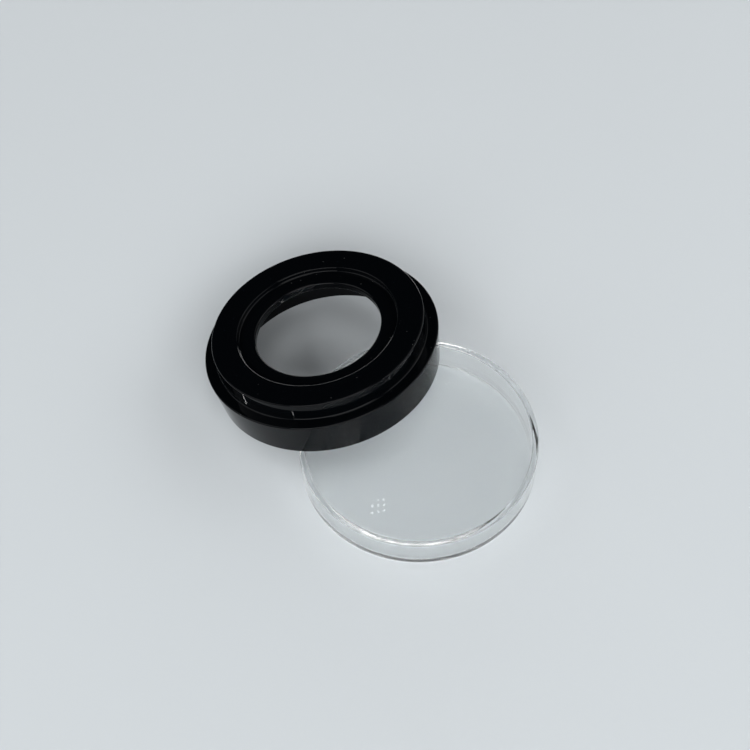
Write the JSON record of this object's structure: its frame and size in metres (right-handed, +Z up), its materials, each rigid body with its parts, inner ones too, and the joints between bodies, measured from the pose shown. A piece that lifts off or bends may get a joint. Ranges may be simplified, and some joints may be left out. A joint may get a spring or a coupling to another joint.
{
  "type": "stepped ring and clear dish",
  "caption": "Glossy black stepped ring with a through window and a shallow seat, leaning on the rim of a clear shallow dish that also covers its step.",
  "frame": {"origin": "centre of the dish's flat foot, on the surface that both pieces stand on", "axes": "+Z up along the dish's axis, out of its mouth; the ring lies towards -X and +Y"},
  "size_m": [0.0585, 0.0609, 0.0191],
  "materials": {
    "black_plastic": "polished moulded black",
    "clear_plastic": "polished clear"
  },
  "bodies": {
    "dish": {"clear_dish": "clear_plastic"},
    "ring": {"stepped_ring": "black_plastic"}
  },
  "joints": [
    {"name": "ring_tip", "type": "hinge", "parent": "dish", "child": "ring", "pos_m": [-0.02857, 0.03286, 0], "axis": [-0.7547, -0.6561, 0], "range_deg": [0, 70]}
  ]
}
